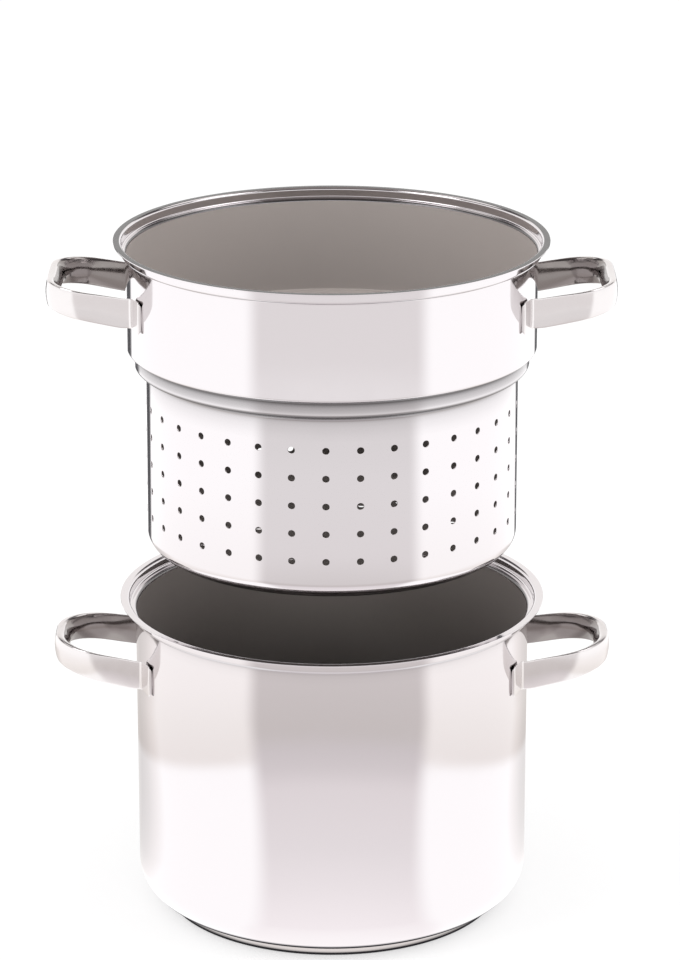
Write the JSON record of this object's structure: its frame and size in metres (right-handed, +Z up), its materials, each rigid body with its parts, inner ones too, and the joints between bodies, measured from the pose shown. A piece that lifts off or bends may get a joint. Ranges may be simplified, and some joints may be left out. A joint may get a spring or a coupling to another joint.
{
  "type": "pasta pot with strainer insert",
  "caption": "Tall polished steel stock pot with side handles and a perforated strainer insert that lifts straight out for draining pasta.",
  "frame": {"origin": "centre of the pot's base on the surface it stands on", "axes": "+Z up along the axis of both vessels, X through the handles, the picture taken from -Y"},
  "size_m": [0.34, 0.26, 0.4196],
  "materials": {
    "polished_steel": "mirror polished outside, satin inside",
    "handle_steel": "polished",
    "base_steel": "polished",
    "core_aluminium": "raw, closed in"
  },
  "bodies": {
    "pot": {"pot_body": "polished_steel", "base_core": "core_aluminium", "base_cap": "base_steel", "pot_handle_left": "handle_steel", "pot_handle_right": "handle_steel"},
    "strainer": {"strainer_body": "polished_steel", "strainer_handle_left": "handle_steel", "strainer_handle_right": "handle_steel"}
  },
  "joints": [
    {"name": "strainer_lift", "type": "slide", "parent": "pot", "child": "strainer", "axis": [0, 0, 1], "range_m": [-0.1637, 0.05]}
  ]
}
